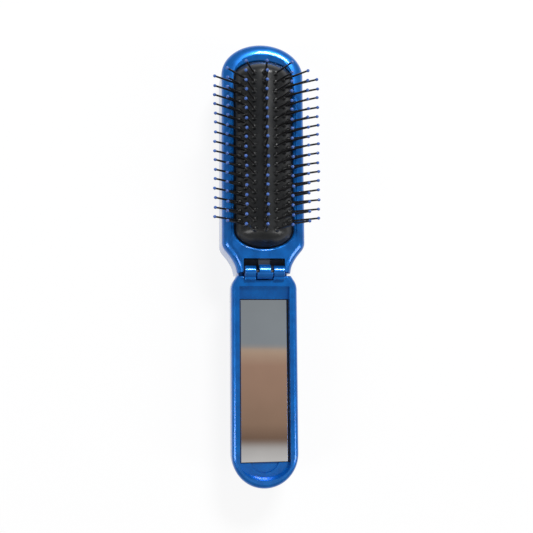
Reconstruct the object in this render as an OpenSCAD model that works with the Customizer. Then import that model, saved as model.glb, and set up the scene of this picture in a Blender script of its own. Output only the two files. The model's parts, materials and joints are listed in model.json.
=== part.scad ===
// Folding hairbrush with a mirror in its handle and pins that sink into the head.
// Millimetres. +Y runs to the head's tip, +Z out of the pins and the mirror.
// The origin is under the middle of the open brush, on the surface it lies on.

/* [Head] */
// Hinge axis to the tip of the head
head_reach = 105.2; // [100:0.1:112]
// Half the width of the head
head_hw = 18.8; // [18:0.1:21]
// Depth of the head, back to front rim
head_depth = 26; // [26:0.5:29]
// Height of the round tip of the outline
tip_rise = 14.5; // [12:0.5:18]
// Wall of the head's back shell
head_wall = 2; // [1.6:0.1:2.4]
// Floor of the head's back shell
head_floor = 2; // [1.6:0.1:2.4]
// Rounding of the head's back edge
head_back_round = 6; // [4:0.5:8]
// Rounding of the rim's outer edge
rim_round = 3.6; // [2.5:0.1:4]
// Rounding of the rim at the pad
rim_inner_round = 1.2; // [0.8:0.1:1.5]
// Depth of the front bezel behind the rim
bezel_depth = 6; // [5.5:0.1:7]
// Thickness of the bezel's front
bezel_t = 1.8; // [1.5:0.1:2]

/* [Neck] */
// Half-width where the neck ends at the hinge
neck_end_hw = 12.1; // [11.6:0.1:13]
// Half-width at the neck's lower bend
neck_low_hw = 12.8; // [12.6:0.1:13.6]
// Half-width at the neck's middle bend
neck_mid_hw = 15; // [14:0.1:16]
// Hinge axis to the lower bend
neck_low_y = 3.1; // [2.4:0.1:4]
// Hinge axis to the middle bend
neck_mid_y = 6.9; // [6:0.1:7.6]
// Hinge axis to the shoulder
neck_top_y = 11.4; // [10:0.1:12]

/* [Pad] */
// Half the width of the pad opening
pad_hw = 13.4; // [13:0.1:14]
// Hinge axis to the lower end of the pad opening
pad_neck_rim = 10.6; // [10:0.1:12]
// Height of the round ends of the opening
pad_end_rise = 8; // [7:0.1:9]
// Rim between the pad and the head's tip
pad_tip_rim = 8.2; // [7:0.1:10]
// Thickness of the rubber pad
pad_t = 1; // [0.8:0.1:1.1]
// Width of the pad's clamped edge
pad_flange = 2.1; // [1.5:0.1:2.2]
// Radius of the pad's crown
crown_r = 14.8; // [14.6:0.1:15.2]
// Depth of the fan's centre below the rim plane
fan_drop = 8.35; // [8:0.05:8.7]

/* [Pins] */
// Rows of pins
pin_rows = 18; // [14:1:18]
// Ends of the opening to the first and the last row
row_margin = 7.925; // [7.5:0.025:8.5]
// Lean of the first, second and third column
pin_lean = [19.5, 36.2, 49.6];
// Inward lean of the columns when folded
folded_lean = [2, 4, 6];
// Rows by which each column starts inside the end
row_inset = [0, 0.5, 1];
// Radius of a pin
pin_r = 0.5; // [0.4:0.05:0.55]
// Radius of a ball tip
ball_r = 0.7; // [0.6:0.05:0.8]
// Fan centre to the ball tips
tip_reach = 29.8; // [29:0.1:30]
// Fan centre to the rails that carry the pins
rail_reach = 11; // [10.8:0.1:11.2]
// Radius of a rail
rail_r = 0.8; // [0.7:0.05:0.85]

/* [Pin bed] */
// Half the width of the bed
bed_hw = 10.4; // [10:0.1:10.8]
// Thickness of the bed plate
bed_t = 1.8; // [1.5:0.1:2]
// Thickness of an end plate
end_plate_t = 1.2; // [1:0.1:1.4]
// Wall of an end plate outside the rails
end_plate_wall = 0.75; // [0.6:0.05:0.8]
// Radius of a guide post
post_r = 1.3; // [1.1:0.1:1.5]
// End plate to the guide post
post_step = 2.4; // [2.2:0.1:2.6]
// Wire of the lift springs
spring_wire_r = 0.4; // [0.3:0.05:0.45]
// Coil radius at the floor
spring_foot_r = 7.5; // [7:0.1:8]
// Coil radius at the bed
spring_head_r = 3; // [2.8:0.1:3.5]
// Curls of a lift spring
spring_turns = 5; // [4:1:5]
// Distance between the lift springs
spring_span = 42; // [36:1:50]

/* [Hinge] */
// Hinge axis above the front plane
axis_rise = 0.2; // [0.15:0.05:0.3]
// Half-width of the head's knuckle
mid_knuckle_hw = 3.5; // [3.2:0.1:3.6]
// Radius of the head's knuckle
mid_knuckle_r = 3.3; // [3.1:0.1:3.4]
// Half-width of the knuckle's narrow upper part
mid_upper_hw = 2.6; // [2.4:0.1:2.8]
// Inner and outer half-span of the handle's knuckles
knuckle_in = 3.95; // [3.9:0.05:4.1]
knuckle_out = 8.85; // [8.5:0.05:9]
// Radius of the handle's knuckles
knuckle_r = 2.75; // [2.6:0.05:2.8]
// Reach of the knuckle's foot over the handle
knuckle_foot = 3.6; // [3.2:0.1:3.8]
// Radius of the hinge pin
hinge_pin_r = 1; // [0.9:0.05:1.1]
// Clearance round the pin in the handle's knuckles
hinge_fit = 0.05; // [0.02:0.01:0.1]
// Clearance round the hinge's fixed and moving parts
hinge_gap = 0.45; // [0.4:0.05:0.5]
// End of the neck beyond the axis
neck_over = 0.5; // [0.3:0.1:0.6]
// Lap of the back shell behind the gap of the hinge
lap_over = 0.8; // [0.6:0.1:0.8]
// Start of the handle beyond the axis
handle_start = 1.6; // [1.5:0.1:1.8]
// Depth and reach of the pocket that clears the folded knuckles
pocket_depth = 4.2; // [4:0.1:4.4]
pocket_reach = 6.1; // [5.5:0.1:6.2]

/* [Handle] */
// Hinge axis to the end of the handle
handle_reach = 94.8; // [93.5:0.1:98]
// Half the width of the handle
handle_hw = 14.8; // [14.6:0.1:16]
// Half-width of its hinge end
handle_end_hw = 12.2; // [11.6:0.1:13]
// Length of the chamfer at the hinge end
handle_chamfer = 4; // [3:0.1:5]
// Depth of the handle
handle_depth = 14; // [13:0.5:16]
// Rounding of its back edge
handle_back_round = 5; // [3.5:0.5:6]
// Rounding of its front edge
handle_rim_round = 2.4; // [1.8:0.1:2.6]
// Wall and floor of the handle's back shell
handle_wall = 1.8; // [1.5:0.1:2]
handle_floor = 1.6; // [1.4:0.1:2]
// Depth of the frame in front of the shell
frame_depth = 4; // [3.5:0.1:4.5]

/* [Mirror] */
// Half-width of the recess
recess_hw = 11.2; // [11:0.05:11.3]
// Hinge axis to the top of the recess
recess_top = 6.4; // [6:0.1:7]
// End of the handle to the end of the recess
recess_margin = 3.5; // [3.2:0.1:3.8]
// Depth of the recess down to the mirror's face
mirror_depth = 4; // [3.8:0.1:4.2]
// Depth of the ramp at its top
ramp_depth = 1.2; // [0.8:0.1:1.6]
// Half-width of the mirror
mirror_hw = 10.4; // [10:0.05:10.5]
// End of the handle to the mirror
mirror_end_rim = 11.1; // [10.6:0.1:12]
// Hinge axis to the mirror
mirror_top = 12.3; // [12:0.1:12.6]
// Thickness of the glass
mirror_t = 1.8; // [1.5:0.1:2]
// Thickness of the adhesive pad under it
mirror_pad_t = 0.4; // [0.3:0.05:0.5]
// Gap round the ends of the glass
mirror_gap = 0.35; // [0.3:0.05:0.5]
// Floor of the frame under the mirror
frame_floor = 1.6; // [1.4:0.1:1.8]
// Radius and extra depth of the finger scoop
scoop_r = 6.7; // [6:0.1:7]
scoop_depth = 1.1; // [0.8:0.1:1.2]
// Height of the scoop beyond the mirror
scoop_rise = 4.5; // [4:0.1:4.8]

/* [Screws] */
// Radius of a screw's shank
screw_r = 1; // [0.8:0.05:1.1]
// Radius and height of a screw's head
screw_head_r = 1.9; // [1.7:0.05:2]
screw_head_h = 1.3; // [1.1:0.1:1.5]
// Radius of a screw tube
tube_r = 2.6; // [2.5:0.1:2.6]
// Web under a screw's head
screw_web = 1.8; // [1.5:0.1:2]
// Length of a head screw and of a handle screw below its head
head_screw_len = 6; // [5.5:0.1:6.2]
handle_screw_len = 5; // [4.5:0.1:5]
// Side step and height above the axis of the neck screws
neck_screw_x = 3.8; // [3.4:0.1:4.2]
neck_screw_y = 4.7; // [4.5:0.1:4.9]
// Radius and length of the bezel's screw bosses
boss_r = 2.2; // [2:0.1:2.4]
boss_len = 4; // [3.5:0.1:4.5]
// Distance of the handle's screws from the ends of the mirror
handle_screw_step = 3; // [2.8:0.1:3.2]

/* [Hidden] */
$fn = 48;
arc_steps = 14;
seat_gap = 0.05;
socket_gap = 0.02;
closed_gap = 0.6;
eps = 0.01;
blue = [0, 0.36, 0.74];
black = [0.08, 0.08, 0.09];
steel = [0.75, 0.76, 0.78];

axis_y = (handle_reach - head_reach) / 2;
front_z = head_depth;
axis_z = front_z + axis_rise;
tip_y = axis_y + head_reach;
neck_y = axis_y - neck_over;
pad_hi = tip_y - pad_tip_rim;
pad_lo = axis_y + pad_neck_rim;
pad_mid = (pad_hi + pad_lo) / 2;
fan_z = front_z - fan_drop;
row_pitch = (pad_hi - pad_lo - 2 * row_margin) / (pin_rows - 1);
first_row = pad_mid + (pin_rows - 1) / 2 * row_pitch;
// The bed sinks until the folded mirror clears the ball tips.
bed_travel = tip_reach - fan_drop + ball_r + closed_gap - mirror_depth - 2 * axis_rise;
rail_end = (pin_rows - 1) / 2 * row_pitch + pin_r + 0.3;
bed_top = fan_z + rail_reach * cos(pin_lean[2]) - rail_r - 0.35;
bed_low = bed_top - bed_t;
post_y = rail_end + end_plate_t + post_step;
bezel_low = front_z - bezel_depth;
lip_z = front_z - bezel_t;
flange_top = lip_z - seat_gap;
flange_low = flange_top - pad_t - 0.2;
retainer_t = 1.4;
handle_top = axis_y - handle_start;
handle_tip = axis_y - handle_reach;
handle_back = front_z - handle_depth;
frame_low = front_z - frame_depth;
mirror_face = front_z - mirror_depth;
mirror_seat = mirror_face - mirror_t - mirror_pad_t;
tray_low = mirror_seat - frame_floor;
mirror_hi = axis_y - mirror_top;
mirror_lo = handle_tip + mirror_end_rim;
mirror_len = mirror_hi - mirror_lo;
recess_end = handle_tip + recess_margin;
scoop_y = mirror_lo - mirror_gap;

echo(bed_travel_mm = bed_travel, axis_y_mm = axis_y, axis_z_mm = axis_z);

// Outlines: a right half from the hinge end to the tip, and its mirror image.
function both_sides(half) = concat(half,
    [for (i = [len(half) - 2:-1:0]) [-half[i][0], half[i][1]]]);
function arc_half(hw, rise, y0) = [for (i = [0:arc_steps])
    [hw * cos(90 * i / arc_steps), y0 + rise * sin(90 * i / arc_steps)]];
low_steps = 8;

// Spare points along the straight edges let the bezel's rings meet the pad's.
function head_outline(off, spare = 0) = both_sides(concat(
    [for (i = [1:1:min(spare, 1)]) [(neck_end_hw - off) / 2, neck_y + off * 0.3]],
    [[neck_end_hw - off, neck_y + off * 0.3],
     [neck_low_hw - off, axis_y + neck_low_y + off * 0.2],
     [neck_mid_hw - off, axis_y + neck_mid_y + off * 0.4],
     [head_hw - off, axis_y + neck_top_y + off * 0.4]],
    [for (i = [1:1:spare - 1]) [head_hw - off, axis_y + neck_top_y + 6 * i]],
    arc_half(head_hw - off, tip_rise - off, tip_y - tip_rise)));

// The pad opening; a negative inset is wider, grow scales it about its own spine.
function pad_outline(off, grow = 1) = both_sides(concat(
    [for (i = [1:low_steps]) let (a = -90 + 90 * (i - 0.5) / low_steps)
        [(pad_hw - off) * grow * cos(a),
         pad_lo + pad_end_rise + (pad_end_rise - off) * grow * sin(a)]],
    arc_half((pad_hw - off) * grow, (pad_end_rise - off) * grow, pad_hi - pad_end_rise)));

function handle_outline(off) = [for (p = both_sides(concat(
    [[handle_end_hw - off, -(handle_top - off * 0.3)],
     [handle_hw - off, -(handle_top - handle_chamfer - off * 0.4)]],
    arc_half(handle_hw - off, handle_hw - off, -(handle_tip + handle_hw))))) [-p[0], -p[1]]];

function level(pts, z) = [for (p = pts) [p[0], p[1], z]];

// A closed skin through rings of equal length, capped at both ends or joined round.
module skin(rings, joined = false) {
    n = len(rings[0]);
    m = len(rings);
    last = joined ? m - 1 : m - 2;
    sides = [for (k = [0:last]) for (i = [0:n - 1])
        let (a = k * n + i, b = k * n + (i + 1) % n, c = (k + 1) % m * n + (i + 1) % n, d = (k + 1) % m * n + i)
        each [[a, d, c], [a, c, b]]];
    caps = joined ? [] : [[for (i = [0:n - 1]) i], [for (i = [n - 1:-1:0]) (m - 1) * n + i]];
    polyhedron(points = [for (r = rings) each r], faces = concat(sides, caps));
}

function round_in(r, steps) = [for (i = [0:steps]) [r * (1 - sin(90 * i / steps)), r * (1 - cos(90 * i / steps))]];

module screw_well(x, y, base_z, seat_z) {
    translate([x, y, base_z - 1]) cylinder(r = screw_head_r + 0.2, h = seat_z - base_z + 1);
    translate([x, y, base_z]) cylinder(r = screw_r + 0.1, h = seat_z - base_z + screw_web + 1);
}

module screw(x, y, seat_z, length) {
    translate([x, y, seat_z - screw_head_h]) difference() {
        cylinder(r = screw_head_r, h = screw_head_h);
        for (a = [0, 90]) rotate(a) translate([-screw_r, -0.25, -1]) cube([2 * screw_r, 0.5, 1.6]);
    }
    translate([x, y, seat_z - eps]) cylinder(r = screw_r, h = length + eps);
}

neck_seat = bezel_low - boss_len - screw_web;
module head_back_shell() {
    corners = round_in(head_back_round, 6);
    inner = round_in(head_back_round - head_wall, 3);
    color(blue) difference() {
        union() {
            skin(concat(
                [for (c = corners) level(head_outline(c[0]), c[1])],
                [level(head_outline(0), bezel_low), level(head_outline(head_wall), bezel_low)],
                [for (i = [len(inner) - 1:-1:0])
                    level(head_outline(head_wall + inner[i][0]), head_floor + inner[i][1])]));
            translate([1 - neck_end_hw, neck_y - lap_over, head_back_round + 2])
                cube([2 * (neck_end_hw - 1), lap_over + head_wall / 2, bezel_low - head_back_round - 2.8]);
            for (s = [-1, 1]) {
                translate([s * neck_screw_x, axis_y + neck_screw_y, head_floor - 0.5])
                    cylinder(r = tube_r, h = bezel_low - boss_len - head_floor + 0.5);
                translate([0, pad_mid + s * post_y, head_floor - 0.5])
                    cylinder(r = post_r, h = bed_top + 0.8 - head_floor + 0.5);
            }
        }
        for (s = [-1, 1]) screw_well(s * neck_screw_x, axis_y + neck_screw_y, 0, neck_seat);
    }
}

module knuckle(x0, x1, r) {
    translate([x0, axis_y, axis_z]) rotate([0, 90, 0]) cylinder(r = r, h = x1 - x0);
}

module head_bezel() {
    bend = [for (i = [0:5]) [rim_round * (1 - cos(18 * i)), rim_round * (sin(18 * i) - 1)]];
    edge = [for (i = [0:3]) [-rim_inner_round * (1 - sin(30 * i)), -rim_inner_round * (1 - cos(30 * i))]];
    pocket_hw = knuckle_out + hinge_gap;
    spare = low_steps - 4;
    color(blue) difference() {
        union() {
            difference() {
                union() {
                    skin(concat(
                        [level(head_outline(0, spare), bezel_low)],
                        [for (b = bend) level(head_outline(b[0], spare), front_z + b[1])],
                        [for (e = edge) level(pad_outline(e[0]), front_z + e[1])],
                        [level(pad_outline(0), lip_z), level(head_outline(head_wall, spare), lip_z),
                         level(head_outline(head_wall, spare), bezel_low)]), joined = true);
                    intersection() {
                        translate([0, 0, bezel_low]) linear_extrude(bezel_depth - 0.5)
                            polygon(head_outline(1));
                        translate([-head_hw, neck_y - 5, 0])
                            cube([2 * head_hw, pocket_reach + neck_over + 6.6, front_z]);
                    }
                    for (s = [-1, 1]) translate([s * neck_screw_x, axis_y + neck_screw_y, bezel_low - boss_len])
                        cylinder(r = boss_r, h = boss_len + 0.5);
                }
                translate([-pocket_hw, neck_y - 5, front_z - pocket_depth])
                    cube([2 * pocket_hw, 5 + neck_over + pocket_reach, pocket_depth + 5]);
            }
            knuckle(-mid_upper_hw, mid_upper_hw, mid_knuckle_r);
            intersection() {
                knuckle(-mid_knuckle_hw, mid_knuckle_hw, mid_knuckle_r);
                translate([-pocket_hw, axis_y - 2 * mid_knuckle_r, 0])
                    cube([2 * pocket_hw, 2 * mid_knuckle_r - 0.6, axis_z + 2 * mid_knuckle_r]);
            }
            translate([-mid_upper_hw, neck_y, front_z - pocket_depth - 0.5])
                cube([2 * mid_upper_hw, pocket_reach + neck_over + 0.5, pocket_depth - 0.7]);
        }
        translate([-knuckle_in, axis_y, axis_z]) rotate([0, 90, 0])
            cylinder(r = hinge_pin_r + socket_gap, h = 2 * knuckle_in);
        for (s = [-1, 1]) translate([s * neck_screw_x, axis_y + neck_screw_y, bezel_low - boss_len - 1])
            cylinder(r = screw_r + socket_gap, h = head_screw_len - screw_web + 1.3);
    }
}

module pad_retainer() {
    color(black) translate([0, 0, flange_low - seat_gap - retainer_t]) linear_extrude(retainer_t)
        difference() {
            polygon(pad_outline(-pad_flange - 0.2));
            polygon(pad_outline(-0.2));
        }
}

function pin_y(col, i) = first_row - (row_inset_of(col) + i) * row_pitch;
function row_inset_of(col) = col == 0 ? 0 : row_inset[col - 1];
function pins_in(col) = pin_rows - 2 * row_inset_of(col);
function lean_of(col) = col == 0 ? 0 : pin_lean[col - 1];

// Along each pin of a column: the children stand on the fan's centre line.
module at_pins(side, col) {
    for (i = [0:pins_in(col) - 1]) translate([0, pin_y(col, i), fan_z])
        rotate([0, side * lean_of(col), 0]) children();
}

module pad_membrane() {
    edge_hw = pad_hw - 0.25;
    rings = 9;
    least = 0.08;
    outer_z = function(s) fan_z + sqrt(crown_r ^ 2 - (edge_hw * s) ^ 2);
    inner_r = crown_r - pad_t;
    inner_hw = edge_hw - 0.6;
    inner_z = function(s) fan_z + sqrt(inner_r ^ 2 - (inner_hw * s) ^ 2);
    scale_at = function(i) least + (1 - least) * sin(90 * i / rings);
    color(black) difference() {
        skin(concat(
            [for (i = [0:rings]) let (s = scale_at(i))
                level(pad_outline(pad_hw - inner_hw, s), inner_z(s))],
            [level(pad_outline(pad_hw - inner_hw), flange_low),
             level(pad_outline(-pad_flange), flange_low),
             level(pad_outline(-pad_flange), flange_top),
             level(pad_outline(pad_hw - edge_hw), flange_top)],
            [for (i = [rings:-1:0]) let (s = scale_at(i))
                level(pad_outline(pad_hw - edge_hw, s), max(outer_z(s), flange_top + eps * (rings - i + 1)))]));
        for (col = [0:3]) for (side = col == 0 ? [1] : [-1, 1]) at_pins(side, col)
            translate([0, 0, inner_r - 3]) cylinder(r = pin_r + 0.35, h = 6, $fn = 8);
    }
}

module hinge_pin() {
    color(steel) translate([-knuckle_out + 0.15, axis_y, axis_z]) rotate([0, 90, 0])
        cylinder(r = hinge_pin_r, h = 2 * (knuckle_out - 0.15));
}

spring_low = head_floor + spring_wire_r + socket_gap;
spring_high = bed_low - spring_wire_r - socket_gap;
echo(spring_least_gap_mm = (spring_high - spring_low) / spring_turns - 2 * spring_wire_r);

// A conical spring as one tube, wide at the floor and narrow at the bed.
module lift_spring(y) {
    steps = spring_turns * 8;
    sides = 6;
    color(steel) skin([for (k = [0:steps]) let (f = k / steps, a = 360 * spring_turns * f,
        r = spring_foot_r + (spring_head_r - spring_foot_r) * f, z = spring_low + (spring_high - spring_low) * f)
        [for (i = [0:sides - 1]) let (b = -360 * i / sides, w = r + spring_wire_r * cos(b))
            [w * cos(a), y + w * sin(a), z + spring_wire_r * sin(b)]]]);
}
module lift_spring_upper() lift_spring(pad_mid + spring_span / 2);
module lift_spring_lower() lift_spring(pad_mid - spring_span / 2);

module head_screws() {
    color(steel) for (s = [-1, 1])
        screw(s * neck_screw_x, axis_y + neck_screw_y, neck_seat, head_screw_len);
}

module pin_bed() {
    plate_r = rail_reach + rail_r + end_plate_wall;
    color(black) difference() {
        union() {
            translate([-bed_hw, pad_mid - rail_end - end_plate_t, bed_low])
                cube([2 * bed_hw, 2 * (rail_end + end_plate_t), bed_t]);
            translate([-post_r - 1.6, pad_mid - post_y - post_r - 0.7, bed_low])
                cube([2 * (post_r + 1.6), 2 * (post_y + post_r + 0.7), bed_t]);
            for (s = [-1, 1]) intersection() {
                translate([0, pad_mid + s * (rail_end + end_plate_t / 2), fan_z]) rotate([90, 0, 0])
                    cylinder(r = plate_r, h = end_plate_t, center = true, $fn = 96);
                translate([-bed_hw, 0, bed_low]) cube([2 * bed_hw, tip_y, 2 * plate_r]);
            }
        }
        for (s = [-1, 1]) translate([0, pad_mid + s * post_y, bed_low - 1])
            cylinder(r = post_r + 0.08, h = bed_t + 2);
        for (col = [0:3]) for (side = col == 0 ? [1] : [-1, 1])
            translate([0, pad_mid, fan_z]) rotate([0, side * lean_of(col), 0])
                translate([0, 0, rail_reach]) rotate([90, 0, 0])
                    cylinder(r = rail_r + seat_gap, h = 2 * tip_y, center = true);
    }
}

// One column: a rail that turns in the bed's end plates, and its pins.
module pin_column(side, col) {
    reach = tip_reach - socket_gap;
    color(black) {
        translate([0, pad_mid, fan_z]) rotate([0, side * lean_of(col), 0]) translate([0, 0, rail_reach])
            rotate([90, 0, 0]) cylinder(r = rail_r, h = 2 * (rail_end + end_plate_t), center = true);
        at_pins(side, col) translate([0, 0, rail_reach]) cylinder(r = pin_r, h = reach - rail_reach);
    }
}

module ball_tips(side, col) {
    color(blue) at_pins(side, col) difference() {
        translate([0, 0, tip_reach]) sphere(r = ball_r);
        translate([0, 0, tip_reach - 2 * ball_r]) cylinder(r = pin_r + socket_gap, h = 2 * ball_r);
    }
}

module centre_pins() pin_column(1, 0);
module left_pins_1() pin_column(-1, 1);
module left_pins_2() pin_column(-1, 2);
module left_pins_3() pin_column(-1, 3);
module right_pins_1() pin_column(1, 1);
module right_pins_2() pin_column(1, 2);
module right_pins_3() pin_column(1, 3);
module centre_tips() ball_tips(1, 0);
module left_tips_1() ball_tips(-1, 1);
module left_tips_2() ball_tips(-1, 2);
module left_tips_3() ball_tips(-1, 3);
module right_tips_1() ball_tips(1, 1);
module right_tips_2() ball_tips(1, 2);
module right_tips_3() ball_tips(1, 3);

screw_ys = [mirror_hi + handle_screw_step, mirror_lo - handle_screw_step];
boss_low = tray_low - 2.2;
handle_seat = boss_low - screw_web;

module handle_back_shell() {
    corners = round_in(handle_back_round, 6);
    inner = round_in(handle_back_round - handle_wall, 3);
    color(blue) difference() {
        union() {
            skin(concat(
                [for (c = corners) level(handle_outline(c[0]), handle_back + c[1])],
                [level(handle_outline(0), frame_low), level(handle_outline(handle_wall), frame_low)],
                [for (i = [len(inner) - 1:-1:0]) level(handle_outline(handle_wall + inner[i][0]),
                    handle_back + handle_floor + inner[i][1])]));
            for (y = screw_ys) translate([0, y, handle_back + handle_floor - 0.5])
                cylinder(r = tube_r, h = boss_low - handle_back - handle_floor + 0.5);
        }
        for (y = screw_ys) screw_well(0, y, handle_back, handle_seat);
    }
}

// The recess: straight sides, a half-moon end with sloped walls, a ramp at the top.
module recess() {
    end_cy = mirror_lo;
    function moon(off, z) = level(concat([[recess_hw, axis_y - recess_top], [-recess_hw, axis_y - recess_top]],
        [for (i = [0:20]) let (a = 180 + 9 * i)
            [recess_hw * cos(a), end_cy + (end_cy - recess_end - off) * sin(a)]]), z);
    skin([moon(1.1, mirror_face), moon(0.3, front_z - ramp_depth), moon(0, front_z + 1)]);
}

module ramp() {
    foot = mirror_face + 0.4;
    translate([-recess_hw - 0.2, 0, 0]) rotate([90, 0, 90]) linear_extrude(2 * recess_hw + 0.4)
        polygon([[axis_y - recess_top + 0.5, mirror_seat - 0.5],
            [axis_y - recess_top + 0.5, front_z - ramp_depth],
            [axis_y - recess_top, front_z - ramp_depth],
            [mirror_hi + mirror_gap, foot], [mirror_hi + mirror_gap, mirror_seat - 0.5]]);
}

module handle_frame() {
    bend = [for (i = [0:5]) [handle_rim_round * (1 - cos(18 * i)), handle_rim_round * (sin(18 * i) - 1)]];
    nest = handle_wall + 0.1;
    color(blue) difference() {
        union() {
            difference() {
                skin(concat(
                    [level(handle_outline(nest), tray_low), level(handle_outline(nest), frame_low),
                     level(handle_outline(0), frame_low)],
                    [for (b = bend) level(handle_outline(b[0]), front_z + b[1])]));
                recess();
                translate([-recess_hw, mirror_lo - mirror_gap, mirror_seat])
                    cube([2 * recess_hw, mirror_len + 2 * mirror_gap, front_z - mirror_seat]);
                intersection() {
                    translate([0, scoop_y + scoop_r - scoop_rise, mirror_face - scoop_depth])
                        cylinder(r = scoop_r, h = 10);
                    translate([-recess_hw, recess_end - 5, 0])
                        cube([2 * recess_hw, scoop_y - recess_end + 5 + eps, 99]);
                }
            }
            ramp();
            for (s = [-1, 1]) {
                knuckle(s > 0 ? knuckle_in : -knuckle_out, s > 0 ? knuckle_out : -knuckle_in, knuckle_r);
                translate([s > 0 ? knuckle_in : -knuckle_out, axis_y - knuckle_foot, axis_z - knuckle_r])
                    cube([knuckle_out - knuckle_in, knuckle_foot, knuckle_r + 1.4]);
            }
            for (y = screw_ys) translate([0, y, boss_low]) cylinder(r = tube_r, h = tray_low - boss_low + 0.5);
        }
        translate([-mid_knuckle_hw - 0.4, axis_y, axis_z]) rotate([0, 90, 0])
            cylinder(r = mid_knuckle_r + hinge_gap, h = 2 * mid_knuckle_hw + 0.8);
        translate([-knuckle_out - 1, axis_y, axis_z]) rotate([0, 90, 0])
            cylinder(r = hinge_pin_r + hinge_fit, h = 2 * knuckle_out + 2);
        for (y = screw_ys) translate([0, y, boss_low - 1])
            cylinder(r = screw_r + socket_gap, h = handle_screw_len - screw_web + 1.1);
    }
}

module mirror_glass() {
    color([0.85, 0.87, 0.88]) translate([-mirror_hw, mirror_lo, mirror_face - mirror_t])
        cube([2 * mirror_hw, mirror_len, mirror_t]);
}

module mirror_pad() {
    color(black) translate([0.1 - recess_hw, mirror_lo - mirror_gap + 0.1, mirror_seat])
        cube([2 * recess_hw - 0.2, mirror_len + 2 * mirror_gap - 0.2, mirror_pad_t]);
}

module handle_screws() {
    color(steel) for (y = screw_ys) screw(0, y, handle_seat, handle_screw_len);
}

head_back_shell();
head_bezel();
pad_retainer();
pad_membrane();
hinge_pin();
lift_spring_upper();
lift_spring_lower();
head_screws();
pin_bed();
centre_pins();
centre_tips();
left_pins_1();
left_pins_2();
left_pins_3();
right_pins_1();
right_pins_2();
right_pins_3();
left_tips_1();
left_tips_2();
left_tips_3();
right_tips_1();
right_tips_2();
right_tips_3();
handle_back_shell();
handle_frame();
mirror_glass();
mirror_pad();
handle_screws();
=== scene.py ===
import json
import random
from math import sin, cos, pi, radians, sqrt

import bpy
import bmesh
from mathutils import Matrix, Vector


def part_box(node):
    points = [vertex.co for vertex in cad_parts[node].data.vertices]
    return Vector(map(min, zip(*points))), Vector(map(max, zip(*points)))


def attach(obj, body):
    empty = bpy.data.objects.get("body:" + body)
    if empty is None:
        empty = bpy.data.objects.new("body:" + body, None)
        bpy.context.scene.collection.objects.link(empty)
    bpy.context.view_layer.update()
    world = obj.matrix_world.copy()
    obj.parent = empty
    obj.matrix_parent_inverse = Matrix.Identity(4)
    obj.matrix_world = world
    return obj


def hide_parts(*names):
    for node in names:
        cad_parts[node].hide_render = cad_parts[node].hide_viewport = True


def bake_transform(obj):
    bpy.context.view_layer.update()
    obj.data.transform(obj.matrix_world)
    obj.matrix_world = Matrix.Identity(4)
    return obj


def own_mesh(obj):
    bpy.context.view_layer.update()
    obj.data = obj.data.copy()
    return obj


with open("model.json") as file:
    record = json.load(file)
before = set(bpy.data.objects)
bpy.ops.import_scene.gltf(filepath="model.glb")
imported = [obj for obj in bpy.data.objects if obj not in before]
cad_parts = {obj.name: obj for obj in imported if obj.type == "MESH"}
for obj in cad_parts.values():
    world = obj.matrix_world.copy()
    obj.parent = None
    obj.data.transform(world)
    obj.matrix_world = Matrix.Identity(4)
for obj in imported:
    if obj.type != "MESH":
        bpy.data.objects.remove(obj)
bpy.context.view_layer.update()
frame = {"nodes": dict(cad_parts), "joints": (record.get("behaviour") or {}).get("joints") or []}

mm = 0.001
joints = {joint["name"]: joint for joint in frame["joints"]}
axisY, axisZ = joints["fold"]["pos_m"][1:]
frontZ = axisZ - 0.2 * mm            # plane of the rim and the handle's front
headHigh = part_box("head_back_shell")[1]
handleLow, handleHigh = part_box("handle_back_shell")
glassLow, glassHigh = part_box("mirror_glass")
bezelLow = frontZ - 6 * mm           # seam between the head's two shells
seam = {"gap": 0.02 * mm, "round": 0.15 * mm}
random.seed(7)
print("frame loaded")


def newObject(name, verts, faces, smoothAngle=35):
    mesh = bpy.data.meshes.new(name)
    mesh.from_pydata([tuple(v) for v in verts], [], faces)
    mesh.validate()
    piece = bpy.data.objects.new(name, mesh)
    bpy.context.scene.collection.objects.link(piece)
    tidyMesh(piece, smoothAngle)
    return piece


def tidyMesh(piece, smoothAngle=35):
    mesh = piece.data
    bm = bmesh.new()
    bm.from_mesh(mesh)
    bmesh.ops.remove_doubles(bm, verts=bm.verts, dist=1e-6)
    bmesh.ops.recalc_face_normals(bm, faces=bm.faces)
    bm.to_mesh(mesh)
    bm.free()
    for p in mesh.polygons:
        p.use_smooth = True
    mesh.set_sharp_from_angle(angle=radians(smoothAngle))


def skinOf(rings, joined=False):
    n, m = len(rings[0]), len(rings)
    verts = [v for ring in rings for v in ring]
    faces = []
    for k in range(m if joined else m - 1):
        k2 = (k + 1) % m
        for i in range(n):
            i2 = (i + 1) % n
            faces.append((k * n + i, k * n + i2, k2 * n + i2, k2 * n + i))
    if not joined:
        faces.append(tuple(range(n))[::-1])
        faces.append(tuple((m - 1) * n + i for i in range(n)))
    return verts, faces


def skinPiece(name, rings, joined=False):
    verts, faces = skinOf(rings, joined)
    return newObject(name, verts, faces)


def cylinderAlong(name, start, end, radius, sides=64, edge=0.0):
    start, end = Vector(start), Vector(end)
    axis = (end - start).normalized()
    side = axis.orthogonal().normalized()
    up = axis.cross(side)
    length = (end - start).length
    stations = [(0, radius)]
    if edge:
        stations = [(edge * (1 - cos(a)), radius - edge * (1 - sin(a))) for a in (0, pi / 6, pi / 3, pi / 2)]
    stations = stations + [(length - s, r) for s, r in stations[::-1]]
    rings = [[start + axis * s + (side * cos(2 * pi * i / sides) + up * sin(2 * pi * i / sides)) * r
              for i in range(sides)] for s, r in stations]
    return skinPiece(name, rings)


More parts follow.
